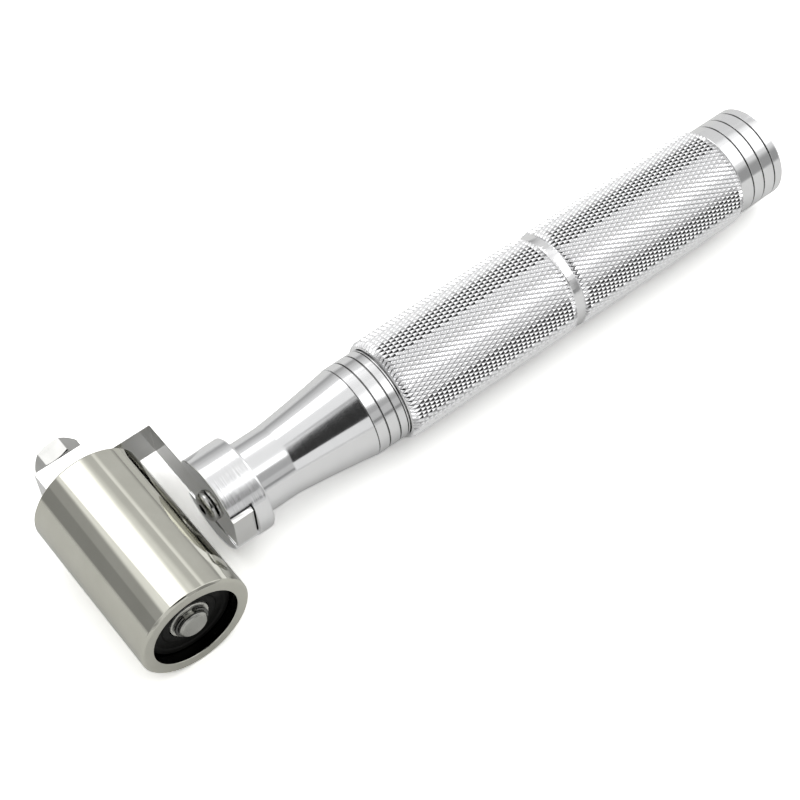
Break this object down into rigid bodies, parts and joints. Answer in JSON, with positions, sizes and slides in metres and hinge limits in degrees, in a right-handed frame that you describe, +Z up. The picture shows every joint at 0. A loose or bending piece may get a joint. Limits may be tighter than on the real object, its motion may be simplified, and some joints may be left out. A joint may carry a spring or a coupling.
{
  "type": "seam roller",
  "caption": "Hand seam roller: a steel roller on sealed ball bearings, held at one end by an L bracket in the slotted collar of a knurled aluminium handle.",
  "frame": {"origin": "middle of the bounding box seen from above, at floor height", "axes": "+X along the tool from the roller to the butt of the handle, +Y along the roller's axis from its open end to the bracket, +Z up"},
  "size_m": [0.1948, 0.0576, 0.027],
  "materials": {
    "ground_steel": "ground and polished",
    "race_steel": "ground",
    "ball_steel": "polished",
    "cage_steel": "pressed, satin",
    "seal_rubber": "matte black",
    "axle_steel": "turned",
    "clip_steel": "black oxide",
    "nut_steel": "bright plated",
    "bracket_steel": "bright plated, satin",
    "screw_steel": "dark plated",
    "turned_aluminium": "bright turned",
    "knurled_aluminium": "diamond knurled"
  },
  "bodies": {
    "frame": {"bracket": "bracket_steel", "axle": "axle_steel", "axle_nut": "nut_steel", "circlip": "clip_steel", "front_washer": "axle_steel", "rear_spacer": "axle_steel", "race_spacer": "axle_steel", "front_inner_race": "race_steel", "rear_inner_race": "race_steel", "bracket_screw": "screw_steel", "handle_neck": "turned_aluminium", "grip_tube": "knurled_aluminium", "end_cap": "turned_aluminium"},
    "roller": {"roller_shell": "ground_steel", "front_outer_race": "race_steel", "rear_outer_race": "race_steel", "front_dust_seal": "seal_rubber", "rear_dust_seal": "seal_rubber"},
    "front_ball_set": {"front_cage": "cage_steel", "front_ball_1": "ball_steel", "front_ball_2": "ball_steel", "front_ball_3": "ball_steel", "front_ball_4": "ball_steel", "front_ball_5": "ball_steel", "front_ball_6": "ball_steel", "front_ball_7": "ball_steel"},
    "rear_ball_set": {"rear_cage": "cage_steel", "rear_ball_1": "ball_steel", "rear_ball_2": "ball_steel", "rear_ball_3": "ball_steel", "rear_ball_4": "ball_steel", "rear_ball_5": "ball_steel", "rear_ball_6": "ball_steel", "rear_ball_7": "ball_steel"}
  },
  "joints": [
    {"name": "roller_spin", "type": "hinge", "parent": "frame", "child": "roller", "pos_m": [-0.08388, -0.0073, 0.0135], "axis": [0, 1, 0], "continuous": true},
    {"name": "front_balls_orbit", "type": "hinge", "parent": "frame", "child": "front_ball_set", "pos_m": [-0.08388, -0.0222, 0.0135], "axis": [0, 1, 0], "continuous": true},
    {"name": "rear_balls_orbit", "type": "hinge", "parent": "frame", "child": "rear_ball_set", "pos_m": [-0.08388, 0.0076, 0.0135], "axis": [0, 1, 0], "continuous": true}
  ],
  "couplings": [
    {"joint": "front_balls_orbit", "follows": "roller_spin", "ratio": 0.62308},
    {"joint": "rear_balls_orbit", "follows": "roller_spin", "ratio": 0.62308}
  ]
}
